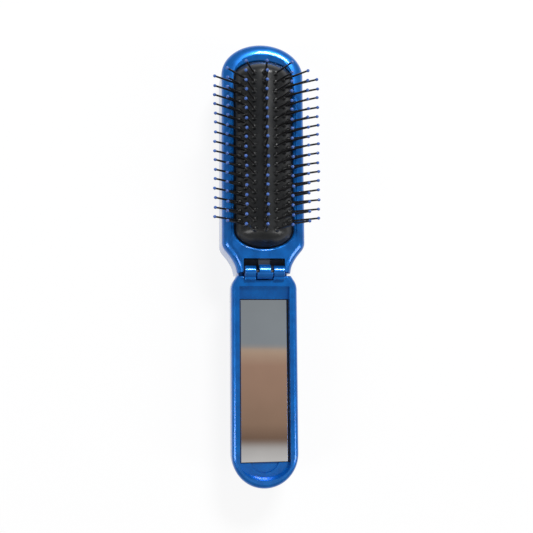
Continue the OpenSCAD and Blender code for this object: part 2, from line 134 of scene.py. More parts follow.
def boxBetween(name, low, high, bevel=0.0):
    corners = [(x, y, z) for x in (low[0], high[0]) for y in (low[1], high[1]) for z in (low[2], high[2])]
    sides = [(0, 1, 3, 2), (4, 6, 7, 5), (0, 4, 5, 1), (2, 3, 7, 6), (0, 2, 6, 4), (1, 5, 7, 3)]
    piece = newObject(name, corners, sides)
    if bevel:
        bevelEdges(piece, bevel)
    return piece


def applyModifier(piece, modifier):
    bpy.context.view_layer.objects.active = piece
    with bpy.context.temp_override(object=piece, active_object=piece, selected_objects=[piece]):
        bpy.ops.object.modifier_apply(modifier=modifier.name)


def bevelEdges(piece, width):
    mod = piece.modifiers.new("bevel", "BEVEL")
    mod.width = width
    mod.segments = 3
    mod.limit_method = "ANGLE"
    mod.angle_limit = radians(30)
    mod.miter_outer = "MITER_ARC"
    mod.use_clamp_overlap = True
    applyModifier(piece, mod)
    tidyMesh(piece, 32)


def combine(piece, others, operation):
    for other in others:
        mod = piece.modifiers.new("cut", "BOOLEAN")
        mod.operation = operation
        mod.solver = "EXACT"
        mod.object = other
        applyModifier(piece, mod)
        bpy.data.objects.remove(other, do_unlink=True)
    tidyMesh(piece)
    return piece


def evenNormals(piece):
    mod = piece.modifiers.new("normals", "WEIGHTED_NORMAL")
    mod.mode = "FACE_AREA"
    mod.weight = 80
    mod.keep_sharp = True
    applyModifier(piece, mod)


def finishPiece(piece, body, material, replaced=()):
    if not piece.data.materials:
        piece.data.materials.append(material)
    evenNormals(piece)
    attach(piece, body)
    if replaced:
        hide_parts(*replaced)


def resample(line, count):
    lengths = [0.0]
    for a, b in zip(line, line[1:]):
        lengths.append(lengths[-1] + sqrt((b[0] - a[0]) ** 2 + (b[1] - a[1]) ** 2))
    out, k = [], 0
    for i in range(count):
        s = lengths[-1] * i / count
        while lengths[k + 1] < s:
            k += 1
        f = (s - lengths[k]) / max(lengths[k + 1] - lengths[k], 1e-12)
        a, b = line[k], line[k + 1]
        out.append((a[0] + (b[0] - a[0]) * f, a[1] + (b[1] - a[1]) * f))
    return out


def softCorners(line, rounds=2, share=0.25):
    for _ in range(rounds):
        out = [line[0]]
        for a, b in zip(line, line[1:]):
            out.append((a[0] + (b[0] - a[0]) * share, a[1] + (b[1] - a[1]) * share))
            out.append((b[0] - (b[0] - a[0]) * share, b[1] - (b[1] - a[1]) * share))
        out.append(line[-1])
        line = out
    return line


def quarter(hw, rise, y0, steps=48):
    return [(hw * cos(pi / 2 * i / steps), y0 + rise * sin(pi / 2 * i / steps)) for i in range(steps + 1)]


head = {"hw": headHigh[0], "tipRise": 14.5 * mm, "wall": 2 * mm, "neckOver": 0.5 * mm,
        "neckEndHw": 12.1 * mm, "neckLow": (12.8 * mm, 3.1 * mm), "neckMid": (15 * mm, 6.9 * mm),
        "shoulder": 11.4 * mm, "straight": 5 * mm, "backRound": 6 * mm, "floor": 2 * mm}
pad = {"hw": 13.4 * mm, "length": 86.4 * mm, "endRise": 8 * mm, "tipRim": 8.2 * mm}
padHigh = headHigh[1] - pad["tipRim"]
padLow = padHigh - pad["length"]
padMid = (padHigh + padLow) / 2


counts = (14, 30, 26, 40)   # points of the end, the neck, the side and the tip in every loop of the head


def headHalf(off):
    h = head
    endY = axisY - h["neckOver"] + off * 0.3
    corner = [(0, endY),
              (h["neckEndHw"] - off, endY),
              (h["neckLow"][0] - off, axisY + h["neckLow"][1] + off * 0.2),
              (h["neckMid"][0] - off, axisY + h["neckMid"][1] + off * 0.4),
              (h["hw"] - off, axisY + h["shoulder"] + off * 0.4),
              (h["hw"] - off, axisY + h["shoulder"] + h["straight"])]
    neck = softCorners(corner[1:], 2, 0.22)
    top = quarter(h["hw"] - off, h["tipRise"] - off, headHigh[1] - h["tipRise"])
    return (resample([corner[0], corner[1]], counts[0]) + resample(neck, counts[1])
            + resample([neck[-1], top[0]], counts[2]) + resample(top, counts[3]) + [top[-1]])


def padHalf(off, grow=1.0):
    hw, rise = (pad["hw"] - off) * grow, (pad["endRise"] - off) * grow
    low = [(hw * cos(a), padLow + pad["endRise"] + rise * sin(a))
           for a in [-pi / 2 + pi / 2 * i / 48 for i in range(49)]]
    top = quarter(hw, rise, padHigh - pad["endRise"])
    return (resample(low[:17], counts[0]) + resample(low[16:], counts[1])
            + resample([low[-1], top[0]], counts[2]) + resample(top, counts[3]) + [top[-1]])


def closedLoop(half):
    return half + [(-x, y) for x, y in half[-2:0:-1]]


def level(loop, z):
    return [(x, y, z) for x, y in loop]


def headLoop(off):
    return closedLoop(headHalf(off))


def padLoop(off, grow=1.0):
    return closedLoop(padHalf(off, grow))


handle = {"hw": handleHigh[0], "endHw": 12.2 * mm, "start": 1.6 * mm, "chamfer": 4 * mm,
          "straight": 5 * mm, "backRound": 5 * mm, "wall": 1.8 * mm, "floor": 1.6 * mm,
          "rimRound": 2.4 * mm, "frameDepth": 4 * mm}
handleTop, handleTip = axisY - handle["start"], handleLow[1]


def handleLoop(off):
    h = handle
    corner = [(h["endHw"] - off, handleTop - off * 0.3),
              (h["hw"] - off, handleTop - h["chamfer"] - off * 0.4),
              (h["hw"] - off, handleTop - h["chamfer"] - h["straight"])]
    chamfer = softCorners(corner, 2, 0.22)
    end = [(x, -y) for x, y in quarter(h["hw"] - off, h["hw"] - off, -(handleTip + h["hw"]))]
    half = (resample([(0, corner[0][1]), corner[0]], 10) + resample(chamfer, 16)
            + resample([chamfer[-1], end[0]], 20) + resample(end, 40) + [end[-1]])
    return closedLoop(half)[::-1]


def roundIn(radius, steps):
    return [(radius * (1 - sin(pi / 2 * i / steps)), radius * (1 - cos(pi / 2 * i / steps)))
            for i in range(steps + 1)]


def newMaterial(name):
    mat = bpy.data.materials.new(name)
    mat.use_nodes = True
    nodes, links = mat.node_tree.nodes, mat.node_tree.links
    shader = nodes["Principled BSDF"]
    place = nodes.new("ShaderNodeTexCoord")
    return mat, nodes, links, shader, place


def noiseOn(nodes, links, place, scale, detail=3.0, rough=0.5, stretch=None):
    tex = nodes.new("ShaderNodeTexNoise")
    tex.inputs["Scale"].default_value = scale
    tex.inputs["Detail"].default_value = detail
    tex.inputs["Roughness"].default_value = rough
    source = place.outputs["Object"]
    if stretch:
        mapping = nodes.new("ShaderNodeMapping")
        mapping.inputs["Scale"].default_value = stretch
        links.new(source, mapping.inputs["Vector"])
        source = mapping.outputs["Vector"]
    links.new(source, tex.inputs["Vector"])
    return tex


def mixOf(nodes, links, factor, dark, light):
    ramp = nodes.new("ShaderNodeValToRGB")
    ramp.color_ramp.elements[0].position = 0.35
    ramp.color_ramp.elements[1].position = 0.65
    ramp.color_ramp.elements[0].color = (*dark, 1)
    ramp.color_ramp.elements[1].color = (*light, 1)
    links.new(factor, ramp.inputs["Fac"])
    return ramp


def bumpOn(nodes, links, shader, height, strength, distance):
    bump = nodes.new("ShaderNodeBump")
    bump.inputs["Strength"].default_value = strength
    bump.inputs["Distance"].default_value = distance
    links.new(height, bump.inputs["Height"])
    links.new(bump.outputs["Normal"], shader.inputs["Normal"])


def roughFrom(nodes, links, shader, factor, low, high):
    span = nodes.new("ShaderNodeMapRange")
    span.inputs["To Min"].default_value = low
    span.inputs["To Max"].default_value = high
    links.new(factor, span.inputs["Value"])
    links.new(span.outputs["Result"], shader.inputs["Roughness"])


def pearlPlastic():
    look = {"dark": (0.0, 0.1, 0.4), "light": (0.0, 0.145, 0.53), "metallic": 0.5, "rough": (0.24, 0.36),
            "coat": 0.8, "coatRough": 0.05, "coatIor": 1.38, "specular": 0.25, "cloud": 260, "flake": 7000,
            "sparkle": 0.4, "peel": 90, "peelBump": 0.12, "peelTall": 0.2 * mm}
    mat, nodes, links, shader, place = newMaterial("pearlBluePlastic")
    cloud = noiseOn(nodes, links, place, look["cloud"], 4)
    flake = nodes.new("ShaderNodeTexVoronoi")
    flake.inputs["Scale"].default_value = look["flake"]
    links.new(place.outputs["Object"], flake.inputs["Vector"])
    sparkle = nodes.new("ShaderNodeMix")
    sparkle.data_type = "FLOAT"
    sparkle.inputs["Factor"].default_value = look["sparkle"]
    links.new(cloud.outputs["Fac"], sparkle.inputs["A"])
    links.new(flake.outputs["Distance"], sparkle.inputs["B"])
    colour = mixOf(nodes, links, sparkle.outputs["Result"], look["dark"], look["light"])
    links.new(colour.outputs["Color"], shader.inputs["Base Color"])
    shader.inputs["Metallic"].default_value = look["metallic"]
    shader.inputs["Coat Weight"].default_value = look["coat"]
    shader.inputs["Coat Roughness"].default_value = look["coatRough"]
    shader.inputs["Coat IOR"].default_value = look["coatIor"]
    shader.inputs["Specular IOR Level"].default_value = look["specular"]
    roughFrom(nodes, links, shader, cloud.outputs["Fac"], *look["rough"])
    peel = noiseOn(nodes, links, place, look["peel"], 2)
    bumpOn(nodes, links, shader, peel.outputs["Fac"], look["peelBump"], look["peelTall"])
    return mat


mouldedLooks = {
    "blackRubber": {"dark": (0.006, 0.007, 0.008), "light": (0.014, 0.015, 0.016), "rough": (0.24, 0.36),
                    "grain": 2600, "bump": 0.3, "coat": 0.0},
    "blackNylon": {"dark": (0.006, 0.006, 0.007), "light": (0.013, 0.013, 0.015), "rough": (0.26, 0.36),
                   "grain": 3000, "bump": 0.15, "coat": 0.2},
    "blueTips": {"dark": (0.03, 0.095, 0.36), "light": (0.045, 0.13, 0.44), "rough": (0.3, 0.4),
                 "grain": 1500, "bump": 0.1, "coat": 0.2},
    # adhesive foam under the glass; where it shows in the gap round the glass its black is painted shade
    "adhesiveFoam": {"dark": (0.012, 0.012, 0.012), "light": (0.028, 0.028, 0.028), "rough": (0.7, 0.85),
                     "grain": 2400, "bump": 0.5, "coat": 0.0},
    # painted shade: this dark finish on the hinge pocket's faces stands in for the shade in that recess
    "darkPocket": {"dark": (0.004, 0.012, 0.024), "light": (0.008, 0.02, 0.036), "rough": (0.5, 0.65),
                   "grain": 1800, "bump": 0.3, "coat": 0.0},
    # painted shade: the hinge pin is coloured dark for the shade in the gaps between the knuckles
    "blackenedPin": {"dark": (0.02, 0.022, 0.025), "light": (0.04, 0.042, 0.046), "rough": (0.4, 0.55),
                     "grain": 1500, "bump": 0.2, "coat": 0.0},
    "groundEdge": {"dark": (0.16, 0.19, 0.18), "light": (0.26, 0.3, 0.29), "rough": (0.35, 0.5),
                   "grain": 2000, "bump": 0.4, "coat": 0.0},
}


def moulded(name):
    look = mouldedLooks[name]
    mat, nodes, links, shader, place = newMaterial(name)
    cloud = noiseOn(nodes, links, place, 120, 5)
    colour = mixOf(nodes, links, cloud.outputs["Fac"], look["dark"], look["light"])
    links.new(colour.outputs["Color"], shader.inputs["Base Color"])
    roughFrom(nodes, links, shader, cloud.outputs["Fac"], *look["rough"])
    fine = noiseOn(nodes, links, place, look["grain"], 4, 0.6)
    bumpOn(nodes, links, shader, fine.outputs["Fac"], look["bump"], 0.08 * mm)
    shader.inputs["Coat Weight"].default_value = look["coat"]
    shader.inputs["Coat Roughness"].default_value = 0.1
    return mat


def platedSteel():
    mat, nodes, links, shader, place = newMaterial("platedSteel")
    lines = noiseOn(nodes, links, place, 900, 3, 0.5, (40, 1, 40))
    colour = mixOf(nodes, links, lines.outputs["Fac"], (0.46, 0.47, 0.49), (0.66, 0.67, 0.69))
    links.new(colour.outputs["Color"], shader.inputs["Base Color"])
    shader.inputs["Metallic"].default_value = 1.0
    roughFrom(nodes, links, shader, lines.outputs["Fac"], 0.2, 0.4)
    return mat


def silveredGlass():
    mat, nodes, links, shader, place = newMaterial("silveredGlass")
    haze = noiseOn(nodes, links, place, 40, 4)
    colour = mixOf(nodes, links, haze.outputs["Fac"], (0.86, 0.87, 0.87), (0.93, 0.94, 0.94))
    links.new(colour.outputs["Color"], shader.inputs["Base Color"])
    shader.inputs["Metallic"].default_value = 1.0
    roughFrom(nodes, links, shader, haze.outputs["Fac"], 0.012, 0.03)
    ripple = noiseOn(nodes, links, place, 22, 1)
    bumpOn(nodes, links, shader, ripple.outputs["Fac"], 0.05, 0.0003)
    return mat


blueFinish = pearlPlastic()
rubberFinish = moulded("blackRubber")
nylonFinish = moulded("blackNylon")
tipFinish = moulded("blueTips")
steelFinish = platedSteel()
mirrorFinish = silveredGlass()
foamAndGapShadeFinish = moulded("adhesiveFoam")
pocketShadeFinish = moulded("darkPocket")
paintedShadePin = moulded("blackenedPin")
edgeFinish = moulded("groundEdge")

# painted shade: the hinge pin's dark finish stands in for the shade between the knuckles
keptNodes = {"pad_retainer": nylonFinish, "pin_bed": nylonFinish, "hinge_pin": paintedShadePin,
             "head_screws": steelFinish, "handle_screws": steelFinish}
for name, finish in keptNodes.items():
    node = frame["nodes"][name]
    node.data.materials.clear()
    node.data.materials.append(finish)
    for p in node.data.polygons:
        p.use_smooth = True
    node.data.set_sharp_from_angle(angle=radians(35))
print("finishes made")


screwFit = {"tube": 2.6 * mm, "well": 2.1 * mm, "seat": 14.2 * mm, "hole": 1.1 * mm}


def screwTube(at, low, high):
    return cylinderAlong("tube", (*at, low), (*at, high), screwFit["tube"], 40)


def screwWell(at, back, holeTop):
    well = cylinderAlong("well", (*at, back - mm), (*at, screwFit["seat"]), screwFit["well"], 40)
    hole = cylinderAlong("hole", (*at, back), (*at, holeTop), screwFit["hole"], 24)
    return [well, hole]


def makeHeadBack():
    h = head
    screw = {"x": 3.8 * mm, "y": axisY + 4.7 * mm}
    post = {"y": 39.675 * mm, "low": 1.5 * mm, "high": 24.4 * mm, "radius": 1.3 * mm}
    lap = {"hw": h["neckEndHw"] - mm, "thick": 0.8 * mm, "low": 8 * mm, "high": bezelLow - 0.8 * mm,
           "bevel": 0.2 * mm}
    outer = [level(headLoop(o), z) for o, z in roundIn(h["backRound"], 14)]
    rings = outer + [level(headLoop(0), bezelLow - seam["round"]),
                     level(headLoop(seam["round"]), bezelLow - seam["gap"]),
                     level(headLoop(h["wall"]), bezelLow - seam["gap"])]
    rings += [level(headLoop(h["wall"] + o), h["floor"] + z)
              for o, z in roundIn(h["backRound"] - h["wall"], 6)[::-1]]
    shell = skinPiece("headBackShell", rings)
    tubes, wells = [], []
    for side in (-1, 1):
        at = (side * screw["x"], screw["y"])
        tubes.append(screwTube(at, h["floor"] - 0.5 * mm, bezelLow - 4 * mm))
        wells += screwWell(at, 0, bezelLow)
    posts = []
    for side in (-1, 1):
        y = padMid + side * post["y"]
        posts.append(cylinderAlong("post", (0, y, post["low"]), (0, y, post["high"]), post["radius"], 32))
    endY = axisY - h["neckOver"]         # the lap stands behind the gap at the hinge
    lapPiece = boxBetween("lap", (-lap["hw"], endY - lap["thick"], lap["low"]),
                          (lap["hw"], endY + mm, lap["high"]), lap["bevel"])
    combine(shell, tubes + posts + [lapPiece], "UNION")
    combine(shell, wells, "DIFFERENCE")
    finishPiece(shell, "head", blueFinish, ["head_back_shell"])


hinge = {"midHw": 3.5 * mm, "midR": 3.3 * mm, "midUpperHw": 2.6 * mm, "inner": 3.95 * mm,
         "outer": 8.85 * mm, "knuckleR": 2.75 * mm, "foot": 3.6 * mm, "gap": 0.45 * mm,
         "pocketDepth": 4.2 * mm, "pocketReach": 6.1 * mm, "pinHole": 1.05 * mm, "headPinHole": 1.02 * mm,
         "edge": 0.3 * mm}


def makeBezel():
    rim = {"outer": 3.6 * mm, "side": 3.9 * mm, "tip": 5.8 * mm, "from": 68 * mm, "to": 94 * mm,
           "inner": 1.2 * mm, "fall": 0.35 * mm, "lip": 1.8 * mm}
    rings = [level(headLoop(seam["round"]), bezelLow + seam["gap"]),
             level(headLoop(0), bezelLow + seam["round"])]
    for i in range(15):
        a = pi / 2 * i / 14
        slim, broad = headLoop(rim["side"] * (1 - cos(a))), headLoop(rim["tip"] * (1 - cos(a)))
        ring = []
        for (x0, y0), (x1, y1) in zip(slim, broad):
            f = min(max((y0 - rim["from"]) / (rim["to"] - rim["from"]), 0.0), 1.0)
            f = f * f * (3 - 2 * f)   # the rim grows broader and softer round the tip
            ring.append((x0 + (x1 - x0) * f, y0 + (y1 - y0) * f))
        rings.append(level(ring, frontZ - rim["outer"] * (1 - sin(a))))
    for i in range(7):
        a = pi / 2 * i / 6
        rings.append(level(padLoop(-rim["inner"] * (1 - sin(a))),
                           frontZ - rim["fall"] - (rim["inner"] - rim["fall"]) * (1 - cos(a))))
    rings += [level(padLoop(0), frontZ - rim["lip"]), level(headLoop(head["wall"]), frontZ - rim["lip"]),
              level(headLoop(head["wall"]), bezelLow + seam["gap"])]
    bezel = skinPiece("headBezel", rings, joined=True)
    g = hinge
    neckTop = axisY + 7.6 * mm           # the neck is solid up to here, round the hinge pocket
    blockHalf = [(x, y) for x, y in headHalf(1.4 * mm) if y < neckTop and x > 0.1 * mm]
    blockLoop = blockHalf + [(-x, y) for x, y in blockHalf[::-1]]
    block = skinPiece("block", [level(blockLoop, bezelLow + 0.03 * mm), level(blockLoop, frontZ - 0.6 * mm)])
    combine(bezel, [block], "UNION")
    pocketHw, pocketTop = g["outer"] + g["gap"], axisY + g["pocketReach"]
    pocketFloor = frontZ - g["pocketDepth"]
    pocket = boxBetween("pocket", (-pocketHw, axisY - 6 * mm, pocketFloor),
                        (pocketHw, pocketTop, frontZ + 6 * mm), 0.5 * mm)
    combine(bezel, [pocket], "DIFFERENCE")
    upper = cylinderAlong("upper", (-g["midUpperHw"], axisY, axisZ), (g["midUpperHw"], axisY, axisZ),
                          g["midR"], 64, g["edge"])
    wide = cylinderAlong("wide", (-g["midHw"], axisY, axisZ), (g["midHw"], axisY, axisZ),
                         g["midR"], 64, g["edge"])
    shelf = boxBetween("shelf", (-9 * mm, axisY - 0.6 * mm, axisZ - 9 * mm),
                       (9 * mm, axisY + 9 * mm, axisZ + 9 * mm))
    combine(wide, [shelf], "DIFFERENCE")
    web = boxBetween("web", (-g["midUpperHw"], axisY - 0.4 * mm, pocketFloor - 0.5 * mm),
                     (g["midUpperHw"], pocketTop + 0.4 * mm, frontZ - 1.2 * mm))
    combine(bezel, [web, upper, wide], "UNION")
    bore = cylinderAlong("bore", (-9 * mm, axisY, axisZ), (9 * mm, axisY, axisZ), g["headPinHole"], 32)
    combine(bezel, [bore], "DIFFERENCE")
    bezel.data.materials.append(blueFinish)
    bezel.data.materials.append(pocketShadeFinish)
    near = 0.1 * mm
    for p in bezel.data.polygons:        # painted shade: the pocket's faces get a dark finish for the shade in the recess, the knuckle in it stays blue
        x, y, z = p.center
        inPocket = abs(x) < pocketHw + near and y < pocketTop + near
        if inPocket and pocketFloor - near < z < frontZ - 0.7 * mm:
            offAxis = sqrt((y - axisY) ** 2 + (z - axisZ) ** 2)
            if abs(x) > g["midHw"] + near or offAxis > g["midR"] + near:
                p.material_index = 1
    finishPiece(bezel, "head", blueFinish, ["head_bezel"])


makeHeadBack()
makeBezel()
print("head shells made")


fan = {"drop": 8.35 * mm, "crown": 14.8 * mm, "tip": 29.8 * mm, "rail": 11 * mm,
       "lean": (0, 19.5, 36.2, 49.6), "rows": 18, "pitch": 4.15 * mm, "inset": (0, 0.5, 1),
       "railR": 0.8 * mm, "railHalf": 37.25 * mm, "foot": 0.62 * mm, "stem": 0.54 * mm, "neck": 0.4 * mm,
       "ballR": 0.7 * mm, "wander": 0.22 * mm, "middleDrift": -1.0 * mm}
fanZ = frontZ - fan["drop"]
firstRow = padMid + (fan["rows"] - 1) / 2 * fan["pitch"]
columns = [(1, 0)] + [(side, column) for column in (1, 2, 3) for side in (-1, 1)]


def rowsOf(column):
    inset = 0 if column == 0 else fan["inset"][column - 1]
    return [firstRow - (inset + i) * fan["pitch"] for i in range(int(fan["rows"] - 2 * inset))]


def columnFrame(side, column, y):
    a = radians(side * fan["lean"][column])
    return Vector((0, y, fanZ)), Vector((sin(a), 0, cos(a)))


def lathe(base, axis, profile, sides, drift=None):
    side = axis.orthogonal().normalized()
    up = axis.cross(side)
    drift = drift or (lambda s: Vector((0, 0, 0)))
    return [[base + axis * s + drift(s) + (side * cos(2 * pi * i / sides) + up * sin(2 * pi * i / sides)) * r
             for i in range(sides)] for s, r in profile]


def addSkin(store, rings):
    verts, faces = skinOf(rings)
    base = len(store[0])
    store[0].extend(verts)
    store[1].extend([tuple(base + i for i in f) for f in faces])


def makeColumn(side, column):
    word = "centre" if column == 0 else {-1: "left", 1: "right"}[side]
    label = word if column == 0 else f"{word}{column}"
    crown, stem, ball = fan["crown"], fan["stem"], fan["ballR"]
    reach = fan["tip"] - crown
    pins, tips = ([], []), ([], [])
    for y in rowsOf(column):
        base, axis = columnFrame(side, column, y)
        sway = Vector((random.uniform(-1, 1), random.uniform(-1, 1), 0)) * fan["wander"]
        if column == 0:
            sway.x += fan["middleDrift"]

        def drift(s, sway=sway):
            f = max(0.0, (s - crown) / reach)
            return sway * f ** 1.6
        profile = [(fan["rail"], fan["foot"]), (crown + 0.3 * mm, fan["foot"]), (crown + 2 * mm, stem)]
        profile += [(crown + reach * f, stem + (fan["neck"] - stem) * f) for f in (0.3, 0.5, 0.7, 0.85, 0.99)]
        addSkin(pins, lathe(base, axis, profile, 12, drift))
        ballProfile = []
        for i in range(11):
            a = -pi / 2 + pi * (i + 0.6) / 11.2
            ballProfile.append((fan["tip"] + ball * 1.05 * sin(a), max(ball * cos(a), 0.02 * mm)))
        addSkin(tips, lathe(base, axis, ballProfile, 16, drift))
    base, axis = columnFrame(side, column, padMid)
    railStart = base + axis * fan["rail"] - Vector((0, fan["railHalf"], 0))
    railProfile = [(0, fan["railR"]), (2 * fan["railHalf"], fan["railR"])]
    addSkin(pins, lathe(railStart, Vector((0, 1, 0)), railProfile, 16))
    pinPiece = newObject(f"pins_{label}", *pins)
    tipPiece = newObject(f"tips_{label}", *tips)
    body = "bed" if column == 0 else f"{word}_comb_{column}"
    nodePins = "centre_pins" if column == 0 else f"{word}_pins_{column}"
    finishPiece(pinPiece, body, nylonFinish, [nodePins])
    finishPiece(tipPiece, body, tipFinish, [nodePins.replace("pins", "tips")])


for side, column in columns:
    makeColumn(side, column)
print("pins made")

collar = {"wide": 1.4 * mm, "sink": 0.4 * mm,
          "steps": ((0, 1), (0.45, 1), (0.75, 0.92), (0.9, 0.78), (1.65, 0.66), (1.75, 0.58))}


def makePad():
    rubber = {"edge": 13.15 * mm, "thick": 1 * mm, "flange": 2.1 * mm, "rings": 22, "least": 0.02,
              "bead": 0.45 * mm, "play": 0.05 * mm, "sink": 3.4 * mm}
    lipZ = frontZ - 1.8 * mm
    high = lipZ - rubber["play"]
    low = high - rubber["thick"] - 0.2 * mm
    innerR, innerHw = fan["crown"] - rubber["thick"], rubber["edge"] - 0.6 * mm

    def growth(i):
        return rubber["least"] + (1 - rubber["least"]) * sin(pi / 2 * i / rubber["rings"])

    def crownZ(r, hw, s):
        return fanZ + sqrt(r ** 2 - (hw * s) ** 2)
    inside = [level(padLoop(pad["hw"] - innerHw, growth(i)), crownZ(innerR, innerHw, growth(i)))
              for i in range(rubber["rings"] + 1)]
    brim = [level(padLoop(pad["hw"] - innerHw), low), level(padLoop(-rubber["flange"]), low),
            level(padLoop(-rubber["flange"]), high), level(padLoop(0.2 * mm), high)]
    outside = []
    for i in range(rubber["rings"], -1, -1):
        s = growth(i)
        z = max(crownZ(fan["crown"], rubber["edge"], s), lipZ)
        if s > 0.9:   # the moulded bead beside the rim
            z += rubber["bead"] * sin(pi * (s - 0.9) / 0.1)
        outside.append(level(padLoop(pad["hw"] - rubber["edge"], s), z))
    verts, faces = skinOf(inside + brim + outside)
    store = (list(verts), list(faces))
    for side, column in columns:
        x = abs(fan["crown"] * sin(radians(fan["lean"][column])))
        plainZ = crownZ(fan["crown"], rubber["edge"], min(1.0, x / rubber["edge"]))
        for y in rowsOf(column):
            base, axis = columnFrame(side, column, y)
            # the crown drops near the round ends, so the collar follows it
            over = max(0.0, abs(y - padMid) - (pad["length"] / 2 - pad["endRise"]))
            s = min(1.0, sqrt((x / rubber["edge"]) ** 2 + (over / pad["endRise"]) ** 2))
            drop = plainZ - crownZ(fan["crown"], rubber["edge"], s)
            start = fan["crown"] - drop - collar["sink"]
            profile = [(start + tall * mm, collar["wide"] * share) for tall, share in collar["steps"]]
            addSkin(store, lathe(base, axis, profile, 20))
    piece = newObject("rubberPad", store[0], store[1], 50)
    piece.data.materials.append(rubberFinish)
    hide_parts("pad_membrane")
    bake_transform(piece)


spring = {"wire": 0.4 * mm, "footR": 7.5 * mm, "headR": 3 * mm, "turns": 5, "steps": 28, "sides": 10}


def makeSpring(name, node):
    low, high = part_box(node)
    w = spring["wire"]
    y, bottom, top = (low[1] + high[1]) / 2, low[2] + w, high[2] - w
    count = spring["turns"] * spring["steps"]
    around = [2 * pi * i / spring["sides"] for i in range(spring["sides"])]
    rings = []
    for k in range(count + 1):
        f, a = k / count, 2 * pi * k / spring["steps"]
        r = spring["footR"] + (spring["headR"] - spring["footR"]) * f
        out = Vector((cos(a), sin(a), 0))
        middle = Vector((0, y, bottom + (top - bottom) * f))
        rings.append([middle + out * (r + w * cos(b)) + Vector((0, 0, w * sin(b))) for b in around])
    coil = skinPiece(name, rings)
    finishPiece(coil, "head", steelFinish, [node])
    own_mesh(coil)


makePad()
makeSpring("liftSpringUpper", "lift_spring_upper")
makeSpring("liftSpringLower", "lift_spring_lower")
print("pad made")


recess = {"hw": 11.2 * mm, "top": 6.4 * mm, "margin": 3.5 * mm, "ramp": 1.2 * mm, "glassGap": 0.35 * mm,
          "bedDepth": 2.2 * mm, "scoopR": 6.7 * mm, "scoopDepth": 1.1 * mm, "scoopRise": 4.5 * mm}
mirrorZ = glassHigh[2]


def makeHandleBack():
    h = handle
    frameLow = frontZ - h["frameDepth"]
    back = handleLow[2]
    outer = [level(handleLoop(o), back + z) for o, z in roundIn(h["backRound"], 14)]
    rings = outer + [level(handleLoop(0), frameLow - seam["round"]),
                     level(handleLoop(seam["round"]), frameLow - seam["gap"]),
                     level(handleLoop(h["wall"]), frameLow - seam["gap"])]
    rings += [level(handleLoop(h["wall"] + o), back + h["floor"] + z)
              for o, z in roundIn(h["backRound"] - h["wall"], 6)[::-1]]
    shell = skinPiece("handleBackShell", rings)
    tubes, wells = [], []
    for y in (glassHigh[1] + 3 * mm, glassLow[1] - 3 * mm):
        tubes.append(screwTube((0, y), back + h["floor"] - 0.5 * mm, 16 * mm))
        wells += screwWell((0, y), back, 17 * mm)
    combine(shell, tubes, "UNION")
    combine(shell, wells, "DIFFERENCE")
    finishPiece(shell, "handle", blueFinish, ["handle_back_shell"])


def makeHandleFrame():
    h, r, g = handle, recess, hinge
    frameLow = frontZ - h["frameDepth"]
    nest = h["wall"] + 0.1 * mm
    trayLow = mirrorZ - 3.8 * mm
    seamHigh = frameLow + seam["gap"]
    rings = [level(handleLoop(nest), trayLow), level(handleLoop(nest), seamHigh),
             level(handleLoop(seam["round"]), seamHigh), level(handleLoop(0), seamHigh + seam["round"])]
    for i in range(11):
        a = pi / 2 * i / 10
        rings.append(level(handleLoop(h["rimRound"] * (1 - cos(a))), frontZ - h["rimRound"] * (1 - sin(a))))
    tray = skinPiece("handleFrame", rings)
    endY = glassLow[1]
    reach = endY - (handleTip + r["margin"])

    topY, edgeY, rampFoot = axisY - r["top"], glassHigh[1] + r["glassGap"], mirrorZ + 0.4 * mm
    moonY, bedLow = endY - r["glassGap"], mirrorZ - r["bedDepth"]

    def moon(off, z):
        turns = [pi + pi * i / 48 for i in range(49)]
        loop = [(r["hw"], topY), (-r["hw"], topY)]
        loop += [(r["hw"] * cos(a), endY + (reach - off) * sin(a)) for a in turns]
        return level(loop, z)
    cutter = skinPiece("recessCut", [moon(1.1 * mm, mirrorZ), moon(0.5 * mm, mirrorZ + 1.6 * mm),
                                     moon(0.15 * mm, frontZ - 0.6 * mm), moon(0, frontZ + mm)])
    glassBed = boxBetween("glassBed", (-r["hw"], moonY, bedLow), (r["hw"], edgeY, frontZ))
    scoopY = moonY + r["scoopR"] - r["scoopRise"]
    scoop = cylinderAlong("scoop", (0, scoopY, mirrorZ - r["scoopDepth"]), (0, scoopY, mirrorZ + 3 * mm),
                          r["scoopR"], 96)
    trim = boxBetween("trim", (-12 * mm, moonY, mirrorZ - 2 * mm), (12 * mm, endY + 12 * mm, frontZ + 9 * mm))
    combine(scoop, [trim], "DIFFERENCE")
    combine(tray, [cutter, glassBed, scoop], "DIFFERENCE")
    rampLow, rampHigh, rampHw = mirrorZ - 2.6 * mm, frontZ - r["ramp"], r["hw"] + 0.2 * mm
    side = [(topY + 0.5 * mm, rampLow), (topY + 0.5 * mm, rampHigh), (topY, rampHigh), (edgeY, rampFoot),
            (edgeY, rampLow)]
    parts = [skinPiece("ramp", [[(x, y, z) for y, z in side] for x in (-rampHw, rampHw)])]
    for s in (-1, 1):
        parts.append(cylinderAlong("knuckle", (s * g["inner"], axisY, axisZ), (s * g["outer"], axisY, axisZ),
                                   g["knuckleR"], 64, g["edge"]))
        low, high = sorted((s * g["inner"], s * g["outer"]))
        parts.append(boxBetween("foot", (low, axisY - g["foot"], axisZ - g["knuckleR"]),
                                (high, axisY, axisZ + 1.4 * mm), 0.25 * mm))
    combine(tray, parts, "UNION")
    notchHw = g["midHw"] + 0.4 * mm      # room for the head's middle knuckle
    notch = cylinderAlong("notch", (-notchHw, axisY, axisZ), (notchHw, axisY, axisZ),
                          g["midR"] + g["gap"], 64)
    bore = cylinderAlong("bore", (-10 * mm, axisY, axisZ), (10 * mm, axisY, axisZ), g["pinHole"], 32)
    combine(tray, [notch, bore], "DIFFERENCE")
    finishPiece(tray, "handle", blueFinish, ["handle_frame"])


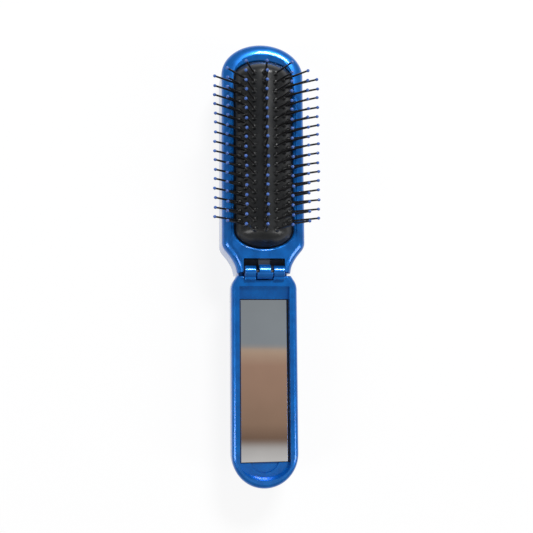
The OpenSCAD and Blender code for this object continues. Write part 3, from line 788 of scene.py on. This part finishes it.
def makeMirror():
    glass = boxBetween("mirrorGlass", glassLow, glassHigh, 0.12 * mm)
    glass.data.materials.clear()
    glass.data.materials.append(mirrorFinish)
    glass.data.materials.append(edgeFinish)
    for p in glass.data.polygons:
        p.material_index = 0 if p.normal.z > 0.5 else 1
        p.use_smooth = False
    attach(glass, "handle")
    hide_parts("mirror_glass")
    seatHw, gap, lap = recess["hw"] - 0.1 * mm, recess["glassGap"] - 0.1 * mm, 0.04 * mm
    low, high, under = mirrorZ - recess["bedDepth"], mirrorZ - 0.3 * mm, glassLow[2] - seam["gap"]
    glassHw = glassHigh[0] + lap
    sizes = [(seatHw, gap, low), (seatHw, gap, high), (glassHw, lap, high), (glassHw, lap, under)]
    rings = []
    for hw, over, z in sizes:            # the foam seat, widened into the gap round the glass; its black line there is painted shade of the gap
        bottom, top = glassLow[1] - over, glassHigh[1] + over
        rings.append([(-hw, bottom, z), (hw, bottom, z), (hw, top, z), (-hw, top, z)])
    seat = skinPiece("mirrorSeat", rings)
    finishPiece(seat, "handle", foamAndGapShadeFinish, ["mirror_pad"])


makeHandleBack()
makeHandleFrame()
makeMirror()
print("handle made")


shot = {"focal": 51.53, "sensor": 36, "distance": 339.9 * mm, "turn": radians(7.62), "tilt": radians(-5.24),
        "roll": radians(0.41), "aim": Vector((0.9 * mm, -2.8 * mm, frontZ))}


def makeCamera():
    turn = Matrix.Rotation(shot["turn"], 3, "Y")
    tilt = Matrix.Rotation(shot["tilt"], 3, "X")
    roll = Matrix.Rotation(shot["roll"], 3, "Z")
    rows = roll @ tilt @ turn
    data = bpy.data.cameras.new("camera")
    data.lens = shot["focal"]
    data.sensor_width = shot["sensor"]
    data.sensor_fit = "HORIZONTAL"
    data.clip_start = 0.01
    camera = bpy.data.objects.new("camera", data)
    bpy.context.scene.collection.objects.link(camera)
    place = rows.transposed().to_4x4()
    place.translation = shot["aim"] + rows.transposed() @ Vector((0, 0, shot["distance"]))
    camera.matrix_world = place
    bpy.context.scene.camera = camera


lamps = {"window": {"at": (0.3, 0.95, 1.15), "toward": (0, 0.02, 0.02), "size": (0.42, 0.3), "power": 20},
         "leftLamp": {"at": (-0.7, -0.25, 0.6), "toward": (0, 0, 0.02), "size": (0.2, 0.5), "power": 2.4},
         "rightLamp": {"at": (0.75, -0.3, 0.6), "toward": (0, 0, 0.02), "size": (0.2, 0.5), "power": 2.4}}


def areaLight(name, lamp):
    data = bpy.data.lights.new(name, "AREA")
    data.shape = "RECTANGLE"
    data.size, data.size_y = lamp["size"]
    data.energy = lamp["power"]
    light = bpy.data.objects.new(name, data)
    bpy.context.scene.collection.objects.link(light)
    light.location = lamp["at"]
    aim = Vector(lamp["toward"]) - Vector(lamp["at"])
    light.rotation_euler = aim.to_track_quat("-Z", "Y").to_euler()


def glowMaterial(name):
    mat = bpy.data.materials.new(name)
    mat.use_nodes = True
    nodes, links = mat.node_tree.nodes, mat.node_tree.links
    nodes.clear()
    out = nodes.new("ShaderNodeOutputMaterial")
    glow = nodes.new("ShaderNodeEmission")
    glow.inputs["Color"].default_value = (1, 1, 1, 1)
    glow.inputs["Strength"].default_value = 1.0
    return mat, nodes, links, out, glow


ground = {"hw": 3.0, "z": -0.5 * mm, "colour": (0.86, 0.86, 0.87), "whiteShare": 0.88}
card = {"z": 1.2, "hw": 0.75, "low": -0.8, "high": 0.8, "wave": 0.03,
        "stops": [(-0.8, (0.8, 0.8, 0.8)), (-0.3, (0.66, 0.65, 0.64)), (-0.24, (0.42, 0.4, 0.39)),
                  (-0.222, (0.16, 0.1, 0.07)), (-0.19, (0.26, 0.165, 0.115)), (-0.075, (0.34, 0.21, 0.15)),
                  (-0.045, (0.42, 0.3, 0.22)), (-0.035, (0.23, 0.25, 0.27)), (0.1, (0.23, 0.25, 0.265)),
                  (0.3, (0.24, 0.25, 0.27)), (0.8, (0.34, 0.36, 0.38))]}
roomLight = {"plain": 0.2, "mirrored": 0.12}


def whiteGround():
    mat, nodes, links, out, glow = glowMaterial("paleGround")
    matte = nodes.new("ShaderNodeBsdfDiffuse")
    matte.inputs["Color"].default_value = (*ground["colour"], 1)
    path = nodes.new("ShaderNodeLightPath")
    seen = nodes.new("ShaderNodeMath")
    seen.operation = "MAXIMUM"
    either = nodes.new("ShaderNodeMath")
    either.operation = "MAXIMUM"
    share = nodes.new("ShaderNodeMath")
    share.operation = "MULTIPLY"
    share.inputs[1].default_value = ground["whiteShare"]
    links.new(path.outputs["Is Camera Ray"], seen.inputs[0])
    links.new(path.outputs["Is Glossy Ray"], seen.inputs[1])
    links.new(seen.outputs[0], either.inputs[0])
    links.new(path.outputs["Is Transmission Ray"], either.inputs[1])
    links.new(either.outputs[0], share.inputs[0])
    mix = nodes.new("ShaderNodeMixShader")
    links.new(share.outputs[0], mix.inputs["Fac"])
    links.new(matte.outputs[0], mix.inputs[1])
    links.new(glow.outputs[0], mix.inputs[2])
    links.new(mix.outputs[0], out.inputs["Surface"])
    return mat


def ceilingGlow():
    mat, nodes, links, out, glow = glowMaterial("ceilingGlow")
    place = nodes.new("ShaderNodeTexCoord")
    bend = noiseOn(nodes, links, place, 2.2, 1)
    parts = nodes.new("ShaderNodeSeparateXYZ")
    links.new(place.outputs["Object"], parts.inputs["Vector"])
    wave = nodes.new("ShaderNodeMath")
    wave.operation = "MULTIPLY_ADD"
    wave.inputs[1].default_value = card["wave"]
    links.new(bend.outputs["Fac"], wave.inputs[0])
    links.new(parts.outputs["Y"], wave.inputs[2])
    span = nodes.new("ShaderNodeMapRange")
    span.inputs["From Min"].default_value = card["low"]
    span.inputs["From Max"].default_value = card["high"]
    links.new(wave.outputs[0], span.inputs["Value"])
    ramp = nodes.new("ShaderNodeValToRGB")
    stops = ramp.color_ramp.elements
    for y, _ in card["stops"][1:-1]:
        stops.new((y - card["low"]) / (card["high"] - card["low"]))
    for stop, (y, colour) in zip(stops, card["stops"]):
        stop.position = (y - card["low"]) / (card["high"] - card["low"])
        stop.color = (*colour, 1)
    links.new(span.outputs["Result"], ramp.inputs["Fac"])
    links.new(ramp.outputs["Color"], glow.inputs["Color"])
    links.new(glow.outputs[0], out.inputs["Surface"])
    return mat


def makeStage():
    hw, z = ground["hw"], ground["z"]
    corners = [(-hw, -hw, z), (hw, -hw, z), (hw, hw, z), (-hw, hw, z)]
    floor = newObject("ground", corners, [(0, 1, 2, 3)])
    floor.data.materials.append(whiteGround())
    hw, z, low, high = card["hw"], card["z"], card["low"], card["high"]
    corners = [(-hw, low, z), (hw, low, z), (hw, high, z), (-hw, high, z)]
    ceiling = newObject("ceiling", corners, [(3, 2, 1, 0)])
    ceiling.data.materials.append(ceilingGlow())
    world = bpy.data.worlds.new("studio")
    bpy.context.scene.world = world
    world.use_nodes = True
    nodes, links = world.node_tree.nodes, world.node_tree.links
    back = nodes["Background"]
    back.inputs["Color"].default_value = (1, 1, 1, 1)
    path = nodes.new("ShaderNodeLightPath")
    mirrored = nodes.new("ShaderNodeMath")
    mirrored.operation = "MAXIMUM"
    links.new(path.outputs["Is Glossy Ray"], mirrored.inputs[0])
    links.new(path.outputs["Is Transmission Ray"], mirrored.inputs[1])
    dim = nodes.new("ShaderNodeMath")
    dim.operation = "MULTIPLY_ADD"
    dim.inputs[1].default_value = roomLight["mirrored"]
    dim.inputs[2].default_value = roomLight["plain"]
    links.new(mirrored.outputs[0], dim.inputs[0])
    strength = nodes.new("ShaderNodeMath")
    strength.operation = "MAXIMUM"
    links.new(path.outputs["Is Camera Ray"], strength.inputs[0])
    links.new(dim.outputs[0], strength.inputs[1])
    links.new(strength.outputs[0], back.inputs["Strength"])
    for name, lamp in lamps.items():
        areaLight(name, lamp)
    bpy.context.scene.view_settings.view_transform = "Standard"


makeCamera()
makeStage()
print("studio made")
